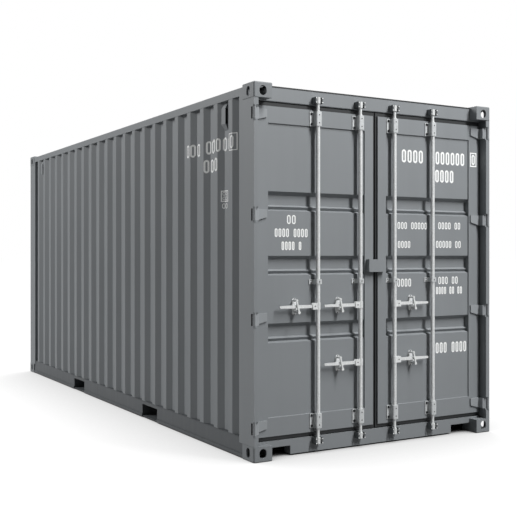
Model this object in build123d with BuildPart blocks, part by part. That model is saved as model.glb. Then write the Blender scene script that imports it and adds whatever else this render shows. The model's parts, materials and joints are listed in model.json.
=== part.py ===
"""Twenty foot high cube shipping container with two hinged doors, in millimetres.

X runs along the length with the doors at +X, Y across the width, Z up.
The origin is on the ground, under the middle of the box.
"""

import os
from math import atan2, cos, degrees, hypot, sin

from build123d import *

# Outer size over the corner castings
length = 6058
width = 2438
height = 2896

# Corner castings
casting_length = 178
casting_width = 162
casting_height = 118
casting_wall = 16
casting_inner_wall = 12
casting_slot_plate = 26
casting_closed_plate = 14
casting_edge_radius = 14
casting_foot_radius = 9
slot_length = 124
slot_width = 63.5
slot_from_end = 102.5
slot_from_side = 89.5
aperture_height = 76
side_aperture_width = 52
end_aperture_width = 63

# Steel frame, set back a little from the faces of the castings
frame_setback = 4
post_plate = 6
post_depth = 40
door_post_length = 232
rear_post_length = 221
rear_post_end_face = 65
top_rail_size = 60
top_rail_wall = 3
top_rail_drop = 22
bottom_rail_bottom = 10
bottom_rail_top = 165
bottom_rail_plate = 4.5
bottom_rail_flange = 45
bottom_rail_lip = 6
bottom_rail_strip = 26
beam_plate = 4

# Door end beams, behind the lock rods
door_face_setback = 85
beam_face_setback = 89
door_beam_depth = 89
header_drop = 6
header_height = 122
header_edge_radius = 9
sill_bottom = 12.5
sill_top = 132
sill_notch_width = 221
sill_notch_height = 68

# Closed end beams
rear_beam_depth = 60
rear_sill_top = 150

# Corrugated sheets
sheet = 2
wall_setback = 2
side_pitch = 252.4
side_crest = 66
side_flank = 60
side_wave_depth = 36
first_ridge_from_doors = 291
rear_pitch = 250
rear_crest = 110
rear_flank = 18
rear_wave_depth = 45
roof_pitch = 209
roof_trough_width = 92
roof_trough_margin = 119
roof_trough_depth = 20
roof_draft = 40

# Underside and floor
cross_height = 120
cross_flange = 45
cross_plate = 4
cross_middle_count = 6
cross_middle_gap = 86.5
cross_outer_pitch = 295
cross_outer_gap = 16.5
floor_thickness = 28
floor_side_gap = 1
pocket_offset = 1025
pocket_width = 352
pocket_height = 110
pocket_plate = 4.5
pocket_flange = 40
pocket_strap_length = 220

# Doors
door_thickness = 50
door_side_gap = 12
door_end_gap = 36
door_meeting_gap = 50
door_tube_wall = 3.2
hinge_stile_width = 120
meeting_stile_width = 86
door_top_rail = 130
door_bottom_rail = 145
panel_setback = 10
band_depth = 38
band_lower_edges = [891, 1418, 1920]
band_lower_slope = 14
band_bead_rise = 20
band_bead_root = 30
band_bead_crest = 16
band_flat = 78
band_upper_slope = 27
gasket_width = 7
gasket_end_width = 30
gasket_meeting_width = 19
gasket_depth = 30
gasket_back = 6

# Hinges
low_hinges = [252, 1083]
high_hinge_drops = [1011, 236]
hinge_barrel_radius = 14
hinge_pin_radius = 8
hinge_running_gap = 0.05
hinge_height = 90
hinge_lug_thickness = 12
hinge_lug_gap = 1
hinge_recess_depth = 45
hinge_blade_thickness = 12
hinge_blade_reach = 105
hinge_blade_tip_height = 62
hinge_leg_clearance = 5

# Lock rods, cams and keepers
rod_offsets = [178, 597]
rod_standoff = 30
rod_radius = 17
rod_wall = 3.2
rod_cap = 12
rod_tube_end = 8
rod_shank_radius = 13
cam_rise = 100
cam_drop = 90
cam_height = 30
cam_hub_radius = 19
cam_hub_height = 50
cam_radius = 27
cam_thickness = 16
keeper_plate = 5
keeper_width = 74
keeper_height = 50
keeper_prong = 6
keeper_prong_gap = 2
keeper_lip_reach = 5
keeper_lip_gap = 8

# Rod brackets
end_bracket_height = 115
end_bracket_rise = 259
end_bracket_drop = 236
middle_bracket_height = 38
middle_bracket_middle = 1364
bracket_width = 56
bracket_corner_radius = 14
bracket_strap = 4.5
bracket_gap = 0.5
bracket_lug_width = 34
bracket_lug_thickness = 6

# Handles with their yokes
handle_upper = 1170
handle_lower = 700
handle_length = 362
handle_thickness = 12
handle_root_height = 24
handle_grip_height = 26
handle_tip_height = 18
handle_lead = 4
yoke_collar_radius = 20
yoke_collar_height = 56
yoke_cheek = 5
yoke_reach = 58
yoke_height = 52
yoke_corner_radius = 6
yoke_cheek_gap = 0.5
yoke_pin_offset = 36
yoke_pin_radius = 6
yoke_eye_radius = 13
pin_running_gap = 0.05

# Handle catches with their swinging flaps
catch_offset = 202
catch_plate = 4
catch_plate_width = 42
catch_plate_height = 132
catch_shelf_width = 36
catch_shelf_thickness = 8
catch_seat_gap = 0.3
catch_lip_height = 8
catch_lip_thickness = 5
catch_lip_gap = 1.5
flap_thickness = 5
flap_seat_gap = 0.3
flap_pivot_across = -10
flap_pivot_rise = 49
flap_end_across = 12
flap_end_rise = -45
flap_pivot_radius = 5
flap_boss_radius = 8
flap_eye_radius = 11
flap_end_radius = 12
flap_bar_width = 14
flap_pin_proud = 2

# Lock box over the meeting edges
lock_box_left = -95
lock_box_right = 80
lock_box_bottom = 1437
lock_box_height = 104
lock_box_depth = 40
lock_box_gap = 2
lock_box_wall = 4
lock_lug_across = -58
lock_lug_height = 60
lock_lug_depth = 28

# Vents high in the side walls
vent_height = 228
vent_top_gap = 4
vent_flank_gap = 5
vent_setback = 8
vent_chamfer = 52
vent_face_rear = 39
vent_face_front = 27
vent_wall = 4
vent_end_wall = 8

# Derived places
end_face = length / 2
side_face = width / 2
frame_side = side_face - frame_setback
frame_end = end_face - frame_setback
casting_top_start = height - casting_height
casting_x = end_face - casting_length
casting_y = side_face - casting_width
reveal = frame_side - post_depth
door_post_back = frame_end - door_post_length
rear_post_front = -frame_end + rear_post_length
rear_post_inside = frame_side - rear_post_end_face
top_rail_top = height - top_rail_drop
top_rail_bottom = top_rail_top - top_rail_size
wall_face = frame_side - wall_setback
wall_valley = wall_face - side_wave_depth
header_top = height - header_drop
header_bottom = header_top - header_height
beam_face = end_face - beam_face_setback
beam_back = beam_face - door_beam_depth
rear_beam_front = -frame_end + rear_beam_depth
door_face = end_face - door_face_setback
door_back = door_face - door_thickness
door_hinge_edge = reveal - door_side_gap
door_meeting_edge = door_meeting_gap / 2
door_bottom = sill_top + door_end_gap
door_top = header_bottom - door_end_gap
door_width = door_hinge_edge - door_meeting_edge
door_height = door_top - door_bottom
door_middle = (door_hinge_edge + door_meeting_edge) / 2
panel_face = door_face - panel_setback
hinge_x = end_face - hinge_barrel_radius
hinge_y = side_face - hinge_barrel_radius
hinge_recess_height = hinge_height + 2 * (hinge_lug_thickness + hinge_lug_gap)
rod_x = door_face + rod_standoff
handle_back = rod_x + handle_lead - handle_thickness / 2
handle_front = handle_back + handle_thickness
catch_lip_back = handle_front + catch_lip_gap
catch_front = catch_lip_back + catch_lip_thickness
flap_back = catch_front + 2 * flap_seat_gap
flap_front = flap_back + flap_thickness
floor_bottom = bottom_rail_bottom + bottom_rail_plate + cross_height
floor_top = floor_bottom + floor_thickness
bottom_web = frame_side - bottom_rail_lip
pocket_top = floor_bottom - pocket_plate
pocket_bottom = pocket_top - pocket_height
pocket_near = pocket_offset - pocket_width / 2
pocket_far = pocket_offset + pocket_width / 2
cross_middle_end = pocket_near - pocket_flange - cross_middle_gap - cross_flange / 2
cross_middle_pitch = 2 * cross_middle_end / (cross_middle_count - 1)
cross_outer_start = pocket_far + pocket_flange + cross_outer_gap + cross_flange / 2
hinge_heights = low_hinges + [height - drop for drop in high_hinge_drops]
cam_heights = [cam_rise, height - cam_drop]
end_bracket_middles = [end_bracket_rise, height - end_bracket_drop]

# How many ridges, troughs and cross members fit the outer size
side_ridges = int(
    (length - first_ridge_from_doors - rear_post_length - frame_setback - side_crest - 2 * side_flank)
    // side_pitch
) + 1
rear_ridges = int((2 * rear_post_inside - rear_crest - 2 * rear_flank) // rear_pitch)
roof_troughs = int((2 * casting_x - roof_trough_width) // roof_pitch) + 1
cross_outer_count = int((beam_back - cross_flange / 2 - cross_outer_start) // cross_outer_pitch) + 1

left_handles = {
    "left_outer": (-rod_offsets[1], handle_upper),
    "left_inner_upper": (-rod_offsets[0], handle_upper),
    "left_inner_lower": (-rod_offsets[0], handle_lower),
}
right_handles = {
    "right_inner_upper": (rod_offsets[0], handle_upper),
    "right_inner_lower": (rod_offsets[0], handle_lower),
}


os.makedirs("parts", exist_ok=True)


def save(part, name):
    """Label a finished piece and write it under its own name."""
    part.label = name
    export_step(part, f"parts/{name}.step")
    return part


def wave(start, end, first, ridges, pitch, crest, flank, low, high):
    """Points of the outer skin of a corrugated sheet, ridge by ridge."""
    points = [(start, low)]
    for ridge in range(ridges):
        foot = first + ridge * pitch
        points.append((foot, low))
        points.append((foot + flank, high))
        points.append((foot + flank + crest, high))
        points.append((foot + 2 * flank + crest, low))
    points.append((end, low))
    return points


def inner_skin(outer):
    """Points one sheet thickness away from an outer skin, to the left along its path."""
    headings = [
        atan2(after[1] - before[1], after[0] - before[0]) for before, after in zip(outer, outer[1:])
    ]
    headings = [headings[0], *headings, headings[-1]]
    points = []
    for place, before, after in zip(outer, headings, headings[1:]):
        middle = (before + after) / 2
        reach = sheet / cos((after - before) / 2)
        points.append((place[0] - reach * sin(middle), place[1] + reach * cos(middle)))
    return points


# Solid blocks in the shape of the castings, cut out of whatever meets them
with BuildPart() as casting_blocks:
    with GridLocations(length - casting_length, width - casting_width, 2, 2):
        Box(casting_length, casting_width, casting_height, align=(Align.CENTER, Align.CENTER, Align.MIN))
    mirror(about=Plane.XY.offset(height / 2))


# Corner castings: hollow boxes with a slot below and one aperture on each outer side
with BuildPart() as corner_castings_bottom:
    with BuildSketch(Plane.XY):
        with Locations((end_face - casting_length / 2, side_face - casting_width / 2)):
            Rectangle(casting_length, casting_width)
    extrude(amount=casting_height)
    outer_corner = corner_castings_bottom.edges().filter_by(Axis.Z).sort_by_distance(
        (end_face, side_face, casting_height / 2)
    )[0]
    fillet(outer_corner, casting_edge_radius)
    fillet(corner_castings_bottom.edges().group_by(Axis.Z)[0], casting_foot_radius)
    with BuildSketch(Plane.XY.offset(casting_slot_plate)):
        with Locations(
            (
                end_face - (casting_wall + casting_length - casting_inner_wall) / 2,
                side_face - (casting_wall + casting_width - casting_inner_wall) / 2,
            )
        ):
            Rectangle(
                casting_length - casting_wall - casting_inner_wall,
                casting_width - casting_wall - casting_inner_wall,
            )
    extrude(amount=casting_height - casting_slot_plate - casting_closed_plate, mode=Mode.SUBTRACT)
    with BuildSketch(Plane.XY):
        with Locations((end_face - slot_from_end, side_face - slot_from_side)):
            SlotOverall(slot_length, slot_width)
    extrude(amount=casting_slot_plate, mode=Mode.SUBTRACT)
    aperture_middle = (casting_slot_plate + casting_height - casting_closed_plate) / 2
    with BuildSketch(Plane.XZ.offset(-side_face)):
        with Locations((end_face - casting_length / 2, aperture_middle)):
            SlotOverall(aperture_height, side_aperture_width, rotation=90)
    extrude(amount=casting_wall, mode=Mode.SUBTRACT)
    with BuildSketch(Plane.YZ.offset(end_face)):
        with Locations((side_face - casting_width / 2, aperture_middle)):
            SlotOverall(aperture_height, end_aperture_width, rotation=90)
    extrude(amount=-casting_wall, mode=Mode.SUBTRACT)
    mirror(about=Plane.YZ)
    mirror(about=Plane.XZ)
save(corner_castings_bottom.part, "corner_castings_bottom")

with BuildPart() as corner_castings_top:
    mirror(corner_castings_bottom.part, about=Plane.XY.offset(height / 2))
save(corner_castings_top.part, "corner_castings_top")


# Door posts: box sections with a recess in the outer corner at each hinge
with BuildPart() as hinge_recesses:
    for hinge_z in hinge_heights:
        with BuildSketch(Plane.XY.offset(hinge_z - hinge_recess_height / 2)):
            with Locations((frame_end, frame_side)):
                Rectangle(hinge_recess_depth, post_depth, align=(Align.MAX, Align.MAX))
        extrude(amount=hinge_recess_height)

with BuildPart() as post_bore:
    with BuildSketch(Plane.XY.offset(casting_height)):
        with Locations((frame_end - door_post_length / 2, frame_side - post_depth / 2)):
            Rectangle(door_post_length - 2 * post_plate, post_depth - 2 * post_plate)
    extrude(amount=top_rail_bottom - casting_height)
    for hinge_z in hinge_heights:
        with BuildSketch(Plane.XY.offset(hinge_z - hinge_recess_height / 2 - post_plate)):
            with Locations((frame_end, frame_side)):
                Rectangle(
                    hinge_recess_depth + post_plate, post_depth, align=(Align.MAX, Align.MAX)
                )
        extrude(amount=hinge_recess_height + 2 * post_plate, mode=Mode.SUBTRACT)

with BuildPart() as door_posts:
    with BuildSketch(Plane.XY.offset(casting_height)):
        with Locations((frame_end - door_post_length / 2, frame_side - post_depth / 2)):
            Rectangle(door_post_length, post_depth)
    extrude(amount=top_rail_bottom - casting_height)
    add(post_bore.part, mode=Mode.SUBTRACT)
    add(hinge_recesses.part, mode=Mode.SUBTRACT)
    add(casting_blocks.part, mode=Mode.SUBTRACT)
    mirror(about=Plane.XZ)
save(door_posts.part, "door_posts")


# Rear posts: one pressed plate, folded in at the end wall and at the side wall
with BuildPart() as rear_posts:
    with BuildSketch(Plane.XY.offset(casting_height)):
        with Locations((-frame_end, frame_side)):
            Rectangle(rear_post_length, rear_post_end_face, align=(Align.MIN, Align.MAX))
        with Locations((-frame_end + post_plate, frame_side - post_plate)):
            Rectangle(
                rear_post_length - 2 * post_plate,
                rear_post_end_face - 2 * post_plate,
                align=(Align.MIN, Align.MAX),
                mode=Mode.SUBTRACT,
            )
        with Locations((-frame_end + post_depth, rear_post_inside)):
            Rectangle(
                rear_post_length - post_depth,
                rear_post_end_face - post_depth,
                align=(Align.MIN, Align.MIN),
                mode=Mode.SUBTRACT,
            )
    extrude(amount=top_rail_bottom - casting_height)
    add(casting_blocks.part, mode=Mode.SUBTRACT)
    mirror(about=Plane.XZ)
save(rear_posts.part, "rear_posts")


# Side rails between the castings
with BuildPart() as top_side_rails:
    with BuildSketch(Plane.YZ.offset(-casting_x)):
        with Locations((frame_side - top_rail_size / 2, top_rail_top - top_rail_size / 2)):
            Rectangle(top_rail_size, top_rail_size)
            Rectangle(
                top_rail_size - 2 * top_rail_wall,
                top_rail_size - 2 * top_rail_wall,
                mode=Mode.SUBTRACT,
            )
    extrude(amount=2 * casting_x)
    mirror(about=Plane.XZ)
save(top_side_rails.part, "top_side_rails")

# The bottom rails: a strip over the fork pockets, and webs with a bottom flange beside them
with BuildPart() as bottom_side_rails:
    with BuildSketch(Plane.YZ.offset(rear_post_front)):
        with Locations((bottom_web, bottom_rail_top)):
            Rectangle(
                bottom_rail_plate, bottom_rail_top - pocket_top, align=(Align.MAX, Align.MAX)
            )
        with Locations((frame_side, bottom_rail_top)):
            Rectangle(
                bottom_rail_flange + bottom_rail_lip, bottom_rail_plate, align=(Align.MAX, Align.MAX)
            )
    extrude(amount=door_post_back - rear_post_front)
    mirror(about=Plane.XZ)
save(bottom_side_rails.part, "bottom_side_rails")

with BuildPart() as bottom_rail_webs:
    for start, end in ((-casting_x, -pocket_far), (-pocket_near, pocket_near), (pocket_far, casting_x)):
        with BuildSketch(Plane.YZ.offset(start)):
            with Locations((bottom_web, bottom_rail_bottom)):
                Rectangle(
                    bottom_rail_plate, pocket_top - bottom_rail_bottom, align=(Align.MAX, Align.MIN)
                )
                Rectangle(bottom_rail_flange, bottom_rail_plate, align=(Align.MAX, Align.MIN))
                Rectangle(bottom_rail_lip, bottom_rail_strip, align=(Align.MIN, Align.MIN))
        extrude(amount=end - start)
    with BuildSketch(Plane.XZ.offset(-side_face)):
        with Locations((door_post_back, casting_height)):
            Rectangle(casting_length, casting_height, align=(Align.MIN, Align.MIN))
        with Locations((rear_post_front, casting_height)):
            Rectangle(casting_length, casting_height, align=(Align.MAX, Align.MIN))
    extrude(amount=casting_width, mode=Mode.SUBTRACT)
    mirror(about=Plane.XZ)
save(bottom_rail_webs.part, "bottom_rail_webs")


# End beams between the castings
with BuildPart() as door_header:
    with BuildSketch(Plane.YZ.offset(beam_back)):
        with Locations((0, (header_bottom + header_top) / 2)):
            Rectangle(2 * casting_y, header_top - header_bottom)
        with Locations((0, (header_bottom + casting_top_start) / 2)):
            Rectangle(2 * reveal, casting_top_start - header_bottom)
    extrude(amount=door_beam_depth)
    with BuildSketch(Plane.YZ.offset(beam_back + beam_plate)):
        with Locations((0, (header_bottom + header_top) / 2)):
            Rectangle(2 * (casting_y - beam_plate), header_top - header_bottom - 2 * beam_plate)
    extrude(amount=door_beam_depth - 2 * beam_plate, mode=Mode.SUBTRACT)
    lower_edge = door_header.edges().filter_by(Axis.Y).sort_by_distance((beam_face, 0, header_bottom))[0]
    fillet(lower_edge, header_edge_radius)
save(door_header.part, "door_header")

with BuildPart() as door_sill:
    with BuildSketch(Plane.YZ.offset(beam_back)):
        with Locations((0, (sill_bottom + sill_top) / 2)):
            Rectangle(2 * casting_y, sill_top - sill_bottom)
        with Locations((0, (casting_height + sill_top) / 2)):
            Rectangle(2 * reveal, sill_top - casting_height)
        with Locations((casting_y, sill_bottom)):
            Rectangle(
                sill_notch_width, sill_notch_height, align=(Align.MAX, Align.MIN), mode=Mode.SUBTRACT
            )
        with Locations((-casting_y, sill_bottom)):
            Rectangle(
                sill_notch_width, sill_notch_height, align=(Align.MIN, Align.MIN), mode=Mode.SUBTRACT
            )
    extrude(amount=door_beam_depth)
    with BuildSketch(Plane.YZ.offset(beam_back + beam_plate)):
        with Locations((0, (sill_bottom + sill_top) / 2)):
            Rectangle(
                2 * (casting_y - sill_notch_width - beam_plate),
                sill_top - sill_bottom - 2 * beam_plate,
            )
    extrude(amount=door_beam_depth - 2 * beam_plate, mode=Mode.SUBTRACT)
    with BuildSketch(Plane.XY.offset(sill_top)):
        with Locations((beam_back, 0)):
            Rectangle(beam_plate, 2 * reveal, align=(Align.MIN, Align.CENTER))
    extrude(amount=floor_top - sill_top)
save(door_sill.part, "door_sill")

with BuildPart() as rear_header:
    with BuildSketch(Plane.XZ.offset(-casting_y)):
        with Locations((rear_beam_front - rear_beam_depth / 2, top_rail_top - top_rail_size / 2)):
            Rectangle(rear_beam_depth, top_rail_size)
            Rectangle(
                rear_beam_depth - 2 * top_rail_wall,
                top_rail_size - 2 * top_rail_wall,
                mode=Mode.SUBTRACT,
            )
    extrude(amount=2 * casting_y)
save(rear_header.part, "rear_header")

with BuildPart() as rear_sill:
    with BuildSketch(Plane.YZ.offset(-frame_end)):
        with Locations((0, (sill_bottom + rear_sill_top) / 2)):
            Rectangle(2 * casting_y, rear_sill_top - sill_bottom)
        with Locations((0, (casting_height + rear_sill_top) / 2)):
            Rectangle(2 * rear_post_inside, rear_sill_top - casting_height)
    extrude(amount=rear_beam_depth)
    with BuildSketch(Plane.YZ.offset(-frame_end + beam_plate)):
        with Locations((0, (sill_bottom + rear_sill_top) / 2)):
            Rectangle(2 * (casting_y - beam_plate), rear_sill_top - sill_bottom - 2 * beam_plate)
    extrude(amount=rear_beam_depth - 2 * beam_plate, mode=Mode.SUBTRACT)
save(rear_sill.part, "rear_sill")


# Side walls: one corrugated sheet each, standing on the bottom rail
side_wave_length = (side_ridges - 1) * side_pitch + side_crest + 2 * side_flank
side_skin = wave(
    rear_post_front,
    door_post_back,
    end_face - first_ridge_from_doors - side_wave_length,
    side_ridges,
    side_pitch,
    side_crest,
    side_flank,
    -wall_valley,
    -wall_face,
)
with BuildPart() as side_wall_left:
    with BuildSketch(Plane.XY.offset(bottom_rail_top)):
        with BuildLine():
            Polyline(*side_skin, *reversed(inner_skin(side_skin)), close=True)
        make_face()
    extrude(amount=top_rail_bottom - bottom_rail_top)
save(side_wall_left.part, "side_wall_left")

with BuildPart() as side_wall_right:
    mirror(side_wall_left.part, about=Plane.XZ)
save(side_wall_right.part, "side_wall_right")


# Rear wall: a deeper wave between the rear posts
rear_first = -((rear_ridges - 1) * rear_pitch + rear_crest + 2 * rear_flank) / 2
rear_outer = -frame_end + wall_setback
rear_skin = wave(
    -rear_post_inside,
    rear_post_inside,
    rear_first,
    rear_ridges,
    rear_pitch,
    rear_crest,
    rear_flank,
    rear_outer + rear_wave_depth,
    rear_outer,
)
with BuildPart() as rear_wall:
    with BuildSketch(Plane.XY.offset(rear_sill_top)):
        with BuildLine():
            Polyline(
                *[(depth, across) for across, depth in rear_skin],
                *[(depth, across) for across, depth in reversed(inner_skin(rear_skin))],
                close=True,
            )
        make_face()
    extrude(amount=top_rail_bottom - rear_sill_top)
    add(casting_blocks.part, mode=Mode.SUBTRACT)
save(rear_wall.part, "rear_wall")


# Roof: a flat sheet on the rails with pressed troughs across it
roof_trough_length = width - 2 * roof_trough_margin
with BuildPart() as roof:
    with BuildSketch(Plane.XY.offset(top_rail_top)):
        Rectangle(2 * casting_x, 2 * frame_side)
        with Locations((-casting_x, 0)):
            Rectangle(frame_end - casting_x, 2 * casting_y, align=(Align.MAX, Align.CENTER))
    extrude(amount=sheet)
    with BuildSketch(Plane.XY.offset(top_rail_top)):
        with GridLocations(roof_pitch, 0, roof_troughs, 1):
            Rectangle(roof_trough_width, roof_trough_length)
    extrude(amount=-roof_trough_depth, taper=roof_draft)
    with BuildSketch(Plane.XY.offset(top_rail_top + sheet)):
        with GridLocations(roof_pitch, 0, roof_troughs, 1):
            Rectangle(roof_trough_width - 2 * sheet, roof_trough_length - 2 * sheet)
    extrude(amount=-roof_trough_depth, taper=roof_draft, mode=Mode.SUBTRACT)
save(roof.part, "roof")


# Cross members: pressed channels from rail to rail, clear of the fork pockets
cross_half = bottom_web - bottom_rail_plate
cross_places = [
    (step - (cross_middle_count - 1) / 2) * cross_middle_pitch for step in range(cross_middle_count)
]
for step in range(cross_outer_count):
    cross_places.append(cross_outer_start + step * cross_outer_pitch)
    cross_places.append(-cross_outer_start - step * cross_outer_pitch)
cross_middle_z = floor_bottom - cross_height / 2
with BuildPart() as cross_members:
    with BuildSketch(Plane.XZ.offset(-cross_half)):
        with Locations(*[(place, cross_middle_z) for place in cross_places]):
            Rectangle(cross_flange, cross_height)
        with Locations(*[(place + cross_plate, cross_middle_z) for place in cross_places]):
            Rectangle(cross_flange, cross_height - 2 * cross_plate, mode=Mode.SUBTRACT)
    extrude(amount=2 * cross_half)
save(cross_members.part, "cross_members")

# Fork pockets: a channel on each side of a tunnel, with its flanges turned away from it
with BuildPart() as fork_pockets:
    with BuildSketch(Plane.XZ.offset(-cross_half)):
        for pocket_x in (-pocket_offset, pocket_offset):
            for side in (-1, 1):
                channel_x = pocket_x + side * (pocket_width + pocket_flange) / 2
                with Locations((channel_x, cross_middle_z)):
                    Rectangle(pocket_flange, cross_height)
                with Locations((channel_x + side * pocket_plate, cross_middle_z)):
                    Rectangle(pocket_flange, cross_height - 2 * pocket_plate, mode=Mode.SUBTRACT)
    extrude(amount=2 * cross_half)
save(fork_pockets.part, "fork_pockets")

# Plates over each fork pocket, and a strap under each of its mouths
with BuildPart() as fork_pocket_plates:
    for pocket_x in (-pocket_offset, pocket_offset):
        with BuildSketch(Plane.XY.offset(pocket_top)):
            with Locations((pocket_x, 0)):
                Rectangle(pocket_width, 2 * cross_half)
        extrude(amount=pocket_plate)
        with BuildSketch(Plane.XY.offset(floor_bottom - cross_height)):
            with Locations((pocket_x, bottom_web - pocket_strap_length / 2)):
                Rectangle(pocket_width, pocket_strap_length)
            with Locations((pocket_x, pocket_strap_length / 2 - bottom_web)):
                Rectangle(pocket_width, pocket_strap_length)
        extrude(amount=pocket_bottom - floor_bottom + cross_height)
save(fork_pocket_plates.part, "fork_pocket_plates")

# Floor of thick plywood on the cross members
with BuildPart() as floor:
    with BuildSketch(Plane.XY.offset(floor_bottom)):
        with Locations(((beam_back + rear_beam_front) / 2, 0)):
            Rectangle(
                beam_back - rear_beam_front,
                2 * (bottom_web - bottom_rail_flange - floor_side_gap),
            )
    extrude(amount=floor_thickness)
save(floor.part, "floor")


# Vents: shallow hollow covers in a recess of each side wall near both ends, open towards the doors
vent_back_width = side_pitch - side_crest - 2 * side_flank - 2 * vent_flank_gap
vent_depth = side_wave_depth - vent_setback
vent_top = top_rail_bottom - vent_top_gap
vent_bottom = vent_top - vent_height
vent_first = end_face - first_ridge_from_doors - side_flank - side_crest / 2 - side_pitch / 2
vent_last = vent_first - (side_ridges - 2) * side_pitch
with BuildPart() as vent_profile:
    with BuildSketch(Plane.YZ.offset(-end_face)):
        with BuildLine():
            Polyline(
                (wall_valley, vent_bottom),
                (wall_valley + vent_depth, vent_bottom + vent_chamfer),
                (wall_valley + vent_depth, vent_top - vent_chamfer),
                (wall_valley, vent_top),
                close=True,
            )
        make_face()
    extrude(amount=length)

with BuildPart() as vents:
    for vent_x in (vent_first, vent_last):
        with BuildSketch(Plane.XY.offset(vent_bottom)):
            with BuildLine():
                Polyline(
                    (vent_x - vent_back_width / 2, wall_valley),
                    (vent_x + vent_back_width / 2, wall_valley),
                    (vent_x + vent_face_front, wall_valley + vent_depth),
                    (vent_x - vent_face_rear, wall_valley + vent_depth),
                    close=True,
                )
            make_face()
        extrude(amount=vent_height)
    add(vent_profile.part, mode=Mode.INTERSECT)
    for vent_x in (vent_first, vent_last):
        with BuildSketch(Plane.YZ.offset(vent_x - vent_back_width / 2 + vent_end_wall)):
            with Locations((wall_valley + vent_depth / 2, (vent_bottom + vent_top) / 2)):
                Rectangle(vent_depth - 2 * vent_wall, vent_height - 2 * vent_chamfer)
        extrude(amount=vent_back_width, mode=Mode.SUBTRACT)
    mirror(about=Plane.XZ)
save(vents.part, "vents")


# Hinge lugs: a plate above and below each hinge barrel, joined by the pin
with BuildPart() as hinge_lugs:
    for hinge_z in hinge_heights:
        lug_bottom = hinge_z - hinge_recess_height / 2
        for lug_z in (lug_bottom, lug_bottom + hinge_recess_height - hinge_lug_thickness):
            with BuildSketch(Plane.XY.offset(lug_z)):
                with Locations((hinge_x, hinge_y)):
                    Circle(hinge_barrel_radius)
                with Locations((frame_end - hinge_recess_depth, frame_side)):
                    Rectangle(
                        hinge_x - frame_end + hinge_recess_depth,
                        post_depth,
                        align=(Align.MIN, Align.MAX),
                    )
            extrude(amount=hinge_lug_thickness)
        with BuildSketch(Plane.XY.offset(lug_bottom)):
            with Locations((hinge_x, hinge_y)):
                Circle(hinge_pin_radius)
        extrude(amount=hinge_recess_height)
    mirror(about=Plane.XZ)
save(hinge_lugs.part, "hinge_lugs")


# Cam keepers: channels with small lips, open above and below, on the end beams
keeper_mouth = cam_radius + keeper_prong_gap
with BuildPart() as cam_keepers:
    for cam_z in cam_heights:
        for rod_y in rod_offsets:
            with BuildSketch(Plane.XY.offset(cam_z - keeper_height / 2)):
                with Locations((beam_face, rod_y)):
                    Rectangle(keeper_plate, keeper_width, align=(Align.MIN, Align.CENTER))
                with Locations((beam_face, rod_y)):
                    Rectangle(
                        rod_x + cam_thickness / 2 + keeper_lip_gap + keeper_prong - beam_face,
                        2 * (keeper_mouth + keeper_prong),
                        align=(Align.MIN, Align.CENTER),
                    )
                with Locations((beam_face + keeper_plate, rod_y)):
                    Rectangle(
                        rod_x + cam_thickness / 2 + keeper_lip_gap - beam_face - keeper_plate,
                        2 * keeper_mouth,
                        align=(Align.MIN, Align.CENTER),
                        mode=Mode.SUBTRACT,
                    )
                    Rectangle(
                        door_face_setback,
                        2 * (keeper_mouth - keeper_lip_reach),
                        align=(Align.MIN, Align.CENTER),
                        mode=Mode.SUBTRACT,
                    )
            extrude(amount=keeper_height)
    mirror(about=Plane.XZ)
save(cam_keepers.part, "cam_keepers")


# Doors, modelled for the right leaf and mirrored for the left one
panel_start = door_meeting_edge + meeting_stile_width
panel_end = door_hinge_edge - hinge_stile_width
panel_width = panel_end - panel_start
panel_middle = (panel_start + panel_end) / 2
with BuildPart() as door_frame_right:
    with BuildSketch(Plane.YZ.offset(door_back)):
        with Locations((door_middle, (door_bottom + door_top) / 2)):
            Rectangle(door_width, door_height)
        with Locations((panel_middle, door_bottom + door_bottom_rail)):
            Rectangle(
                panel_width,
                door_height - door_top_rail - door_bottom_rail,
                align=(Align.CENTER, Align.MIN),
                mode=Mode.SUBTRACT,
            )
    extrude(amount=door_thickness)
    with BuildSketch(Plane.YZ.offset(door_back + door_tube_wall)):
        with Locations((door_middle, (door_bottom + door_top) / 2)):
            Rectangle(door_width - 2 * door_tube_wall, door_height - 2 * door_tube_wall)
        with Locations((panel_middle, door_bottom + door_bottom_rail - door_tube_wall)):
            Rectangle(
                panel_width + 2 * door_tube_wall,
                door_height - door_top_rail - door_bottom_rail + 2 * door_tube_wall,
                align=(Align.CENTER, Align.MIN),
                mode=Mode.SUBTRACT,
            )
    extrude(amount=door_thickness - 2 * door_tube_wall, mode=Mode.SUBTRACT)
save(door_frame_right.part, "door_frame_right")

# Door panel: one sheet with three bands pressed inwards, each with a bead along its lower slope
panel_skin = [(panel_face, door_bottom + door_bottom_rail)]
for edge in band_lower_edges:
    bead_z = edge + band_lower_slope
    flat_z = bead_z + band_bead_rise + band_lower_slope
    panel_skin.append((panel_face, edge))
    panel_skin.append((panel_face - band_bead_root, bead_z))
    panel_skin.append((panel_face - band_bead_crest, bead_z + band_bead_rise))
    panel_skin.append((panel_face - band_depth, flat_z))
    panel_skin.append((panel_face - band_depth, flat_z + band_flat))
    panel_skin.append((panel_face, flat_z + band_flat + band_upper_slope))
panel_skin.append((panel_face, door_top - door_top_rail))
with BuildPart() as door_panel_right:
    with BuildSketch(Plane.XZ.offset(-panel_start)):
        with BuildLine():
            Polyline(*panel_skin, *reversed(inner_skin(panel_skin)), close=True)
        make_face()
    extrude(amount=-panel_width)
save(door_panel_right.part, "door_panel_right")

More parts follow.
